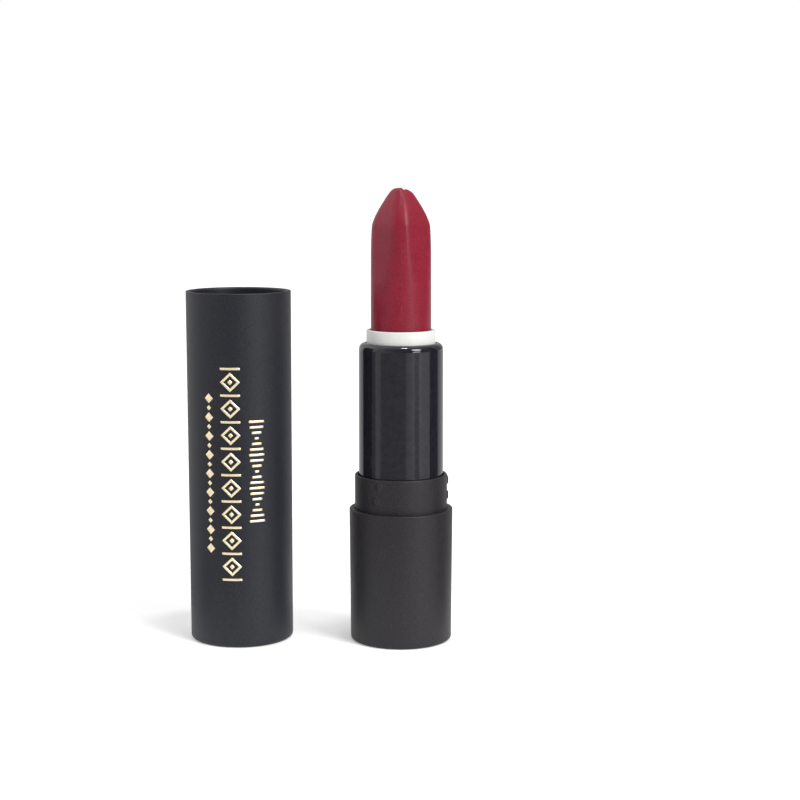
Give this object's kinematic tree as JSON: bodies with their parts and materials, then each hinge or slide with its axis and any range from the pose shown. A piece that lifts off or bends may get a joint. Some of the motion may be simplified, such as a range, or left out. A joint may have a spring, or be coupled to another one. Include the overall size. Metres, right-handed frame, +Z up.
{
  "type": "twist-up lipstick",
  "caption": "Slim twist-up lipstick with a matte black base, glossy black tube, white cup, faceted red stick and a loose matte cap standing beside it.",
  "frame": {"origin": "bottom centre of the lipstick's base, on its axis", "axes": "+Z up along the lipstick's axis; +X to the right, with the cap standing on the -X side; the front is towards -Y"},
  "size_m": [0.0433, 0.0182, 0.0738],
  "materials": {
    "charcoal_base": "fine matte soft-touch coat",
    "charcoal_cap": "fine matte soft-touch coat",
    "gloss_black": "polished black",
    "cup_white": "smooth white",
    "lipstick_red": "satin wax",
    "mechanism_plastic": "natural moulded plastic",
    "weight_steel": "plain turned steel",
    "ring_rubber": "matte",
    "gold_foil": "hot-stamped foil ornament on the cap",
    "label_paper": "satin sticker with a plain shade dot"
  },
  "bodies": {
    "base": {"base_shell": "charcoal_base", "collar": "charcoal_base", "base_weight": "weight_steel", "shade_label": "label_paper", "guide_tube": "mechanism_plastic", "friction_ring": "ring_rubber"},
    "swivel": {"outer_tube": "gloss_black", "spiral_sleeve": "mechanism_plastic"},
    "carrier": {"lipstick_cup": "cup_white", "lipstick_bullet": "lipstick_red"},
    "cap": {"cap_shell": "charcoal_cap"}
  },
  "joints": [
    {"name": "swivel_turn", "type": "hinge", "parent": "base", "child": "swivel", "pos_m": [0, 0, 0.03], "axis": [0, 0, 1], "range_deg": [0, 540]},
    {"name": "carrier_slide", "type": "slide", "parent": "base", "child": "carrier", "axis": [0, 0, 1], "range_m": [-0.0256, 0]},
    {"name": "cap_lift", "type": "slide", "parent": "base", "child": "cap", "axis": [0, 0, 1], "range_m": [0, 0.052]}
  ],
  "couplings": [
    {"joint": "swivel_turn", "follows": "carrier_slide", "rad_per_m": -368.15}
  ]
}
